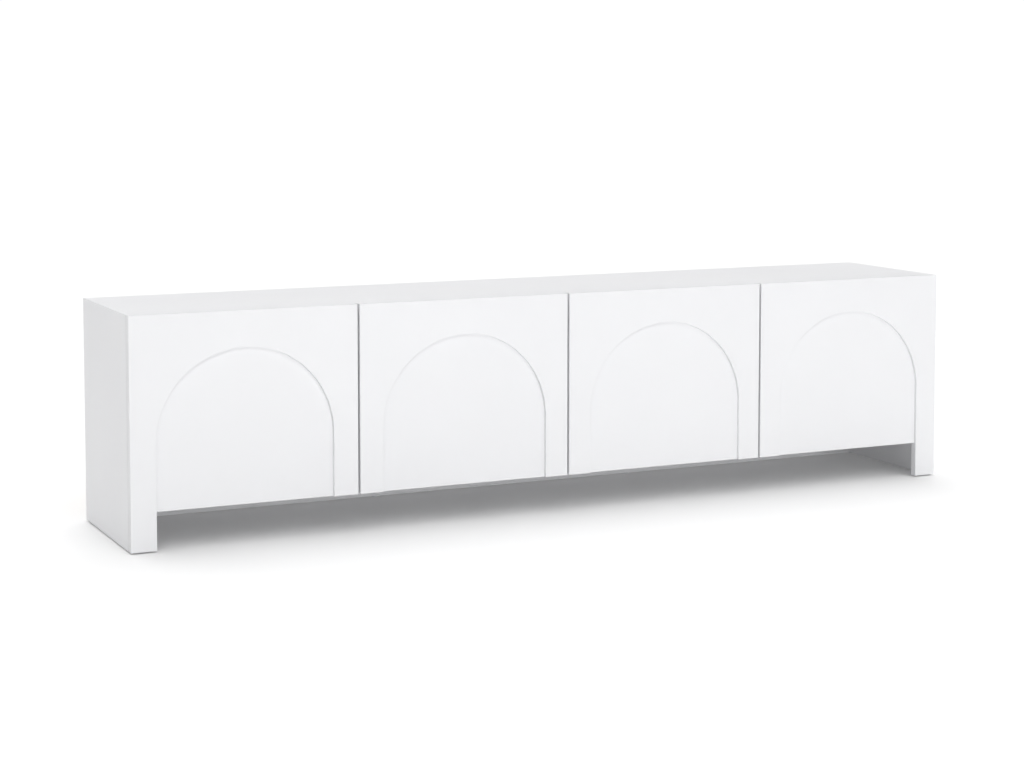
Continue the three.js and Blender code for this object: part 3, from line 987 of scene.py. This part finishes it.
def make_floor():
    half = FLOOR_SIZE / 2
    mesh = mesh_from("floor", [(-half, -half, 0), (half, -half, 0), (half, half, 0), (-half, half, 0)],
                     [(0, 1, 2, 3)])
    floor = loose("floor", mesh)
    s = Shader("studio_floor", roughness=0.9, Specular_IOR_Level=0.0)
    s.bsdf.inputs["Base Color"].default_value = (FLOOR_ALBEDO, FLOOR_ALBEDO, FLOOR_ALBEDO, 1)
    s.bsdf.inputs["Emission Color"].default_value = (1, 1, 1, 1)
    s.bsdf.inputs["Emission Strength"].default_value = FLOOR_GLOW
    mesh.materials.append(s.material)
    return floor


def make_sky():
    """A white band along the horizon under a dim dome."""
    world = bpy.data.worlds.new("studio")
    world.use_nodes = True
    scene.world = world
    tree = world.node_tree
    place = tree.nodes.new("ShaderNodeTexCoord")
    split = tree.nodes.new("ShaderNodeSeparateXYZ")
    height = tree.nodes.new("ShaderNodeMapRange")
    height.interpolation_type = "SMOOTHSTEP"
    height.inputs["From Min"].default_value = HORIZON_BAND[0]
    height.inputs["From Max"].default_value = HORIZON_BAND[1]
    height.inputs["To Min"].default_value = HORIZON
    height.inputs["To Max"].default_value = SKY
    tree.links.new(place.outputs["Generated"], split.inputs["Vector"])
    tree.links.new(split.outputs["Z"], height.inputs["Value"])
    tree.links.new(height.outputs["Result"], tree.nodes["Background"].inputs["Strength"])
    tree.nodes["Background"].inputs["Color"].default_value = (1, 1, 1, 1)


def make_sun(name, azimuth, elevation, angle, strength):
    light = bpy.data.lights.new(name, "SUN")
    light.energy = strength
    light.angle = math.radians(angle)
    lamp = bpy.data.objects.new(name, light)
    lamp.rotation_euler = (math.radians(90 - elevation), 0, math.radians(azimuth))
    scene.collection.objects.link(lamp)
    return lamp


def link_light(lamp, floor, state):
    """EXCLUDE keeps a lamp's light off the floor, and INCLUDE keeps it off everything else."""
    receivers = bpy.data.collections.new(f"{lamp.name}_receivers")
    receivers.objects.link(floor)
    receivers.collection_objects[0].light_linking.link_state = state
    lamp.light_linking.receiver_collection = receivers


def make_suns(floor):
    for azimuth, strength in SOFT_LIGHTS.items():
        make_sun(f"soft_{azimuth}", azimuth, SOFT_ELEVATION, SOFT_ANGLE, strength)
    for name, (azimuth, elevation, strength) in KEY_LIGHTS.items():
        link_light(make_sun(name, azimuth, elevation, KEY_ANGLE, strength), floor, "EXCLUDE")
    fill = make_sun("floor_fill", 0, SOFT_ELEVATION, SOFT_ANGLE, FLOOR_FILL)
    link_light(fill, floor, "INCLUDE")


def make_softbox():
    """A low, wide light in front, that reaches in under the cabinet."""
    light = bpy.data.lights.new("softbox", "AREA")
    light.shape = "RECTANGLE"
    light.size, light.size_y = SOFTBOX_SIZE
    light.energy = SOFTBOX_WATTS
    lamp = bpy.data.objects.new("softbox", light)
    lamp.location = SOFTBOX_PLACE
    aim = Vector((0, 0, SOFTBOX_PLACE[2])) - lamp.location
    lamp.rotation_euler = aim.to_track_quat("-Z", "Y").to_euler()
    lamp.visible_camera = False
    scene.collection.objects.link(lamp)


floor = make_floor()
make_sky()
make_suns(floor)
make_softbox()
scene.view_settings.view_transform = "Standard"
